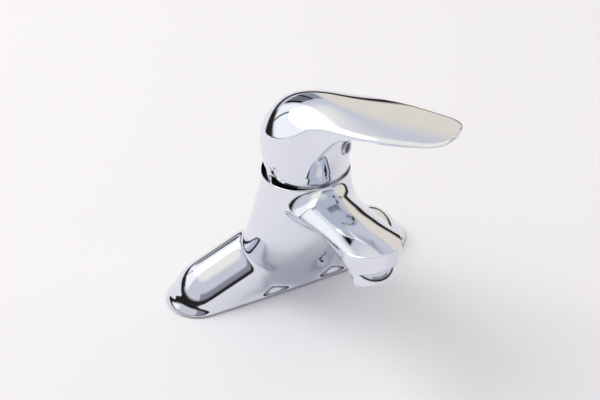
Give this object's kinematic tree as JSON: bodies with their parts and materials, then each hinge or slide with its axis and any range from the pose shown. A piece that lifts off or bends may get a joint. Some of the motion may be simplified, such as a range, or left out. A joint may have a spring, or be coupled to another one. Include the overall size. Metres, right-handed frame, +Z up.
{
  "type": "basin tap",
  "caption": "Deck mounted basin mixer tap: a lever that turns and lifts above a fixed spout, on a long humped base with threaded inlets.",
  "frame": {"origin": "middle of the base outline, on the deck, which is the underside of the base gasket", "axes": "+X along the base, -Y the side that the spout points to, +Z up from the deck"},
  "size_m": [0.158, 0.1308, 0.1445],
  "materials": {
    "chrome_body": "polished",
    "chrome_trim": "gloss",
    "smoked_lens": "gloss",
    "black_rubber": "matte",
    "white_plastic": "satin",
    "blue_plastic": "satin",
    "red_plastic": "satin",
    "grey_plastic": "satin",
    "ceramic_disc": "satin",
    "stem_brass": "satin",
    "steel": "satin"
  },
  "bodies": {
    "fixed": {"body_casting": "chrome_body", "base_gasket": "black_rubber", "port_seals": "black_rubber", "cartridge_base": "white_plastic", "fixed_disc": "ceramic_disc", "cartridge_housing": "white_plastic", "clamp_seal": "black_rubber", "retaining_nut": "stem_brass", "temperature_stop": "red_plastic", "aerator_housing": "chrome_body", "aerator_washer": "black_rubber", "aerator_insert": "white_plastic", "aerator_screen": "grey_plastic", "flow_regulator": "grey_plastic"},
    "turning": {"rotor": "blue_plastic", "stem_pin": "steel"},
    "lever": {"handle": "chrome_body", "handle_screw": "steel", "index_plug": "chrome_trim", "index_lens": "smoked_lens", "stem": "stem_brass"},
    "slider": {"moving_disc": "ceramic_disc", "disc_carrier": "blue_plastic"}
  },
  "joints": [
    {"name": "handle_turn", "type": "hinge", "parent": "fixed", "child": "turning", "pos_m": [0, -0.0209, 0.09], "axis": [0, 0, 1], "range_deg": [-83, 17]},
    {"name": "handle_lift", "type": "hinge", "parent": "turning", "child": "lever", "pos_m": [0, -0.0209, 0.09], "axis": [-0.8387, -0.5446, 0], "range_deg": [0, 18]},
    {"name": "disc_slide", "type": "slide", "parent": "turning", "child": "slider", "axis": [0.5446, -0.8387, 0], "range_m": [0, 0.0026]}
  ],
  "couplings": [
    {"joint": "disc_slide", "follows": "handle_lift", "m_per_rad": 0.008}
  ]
}
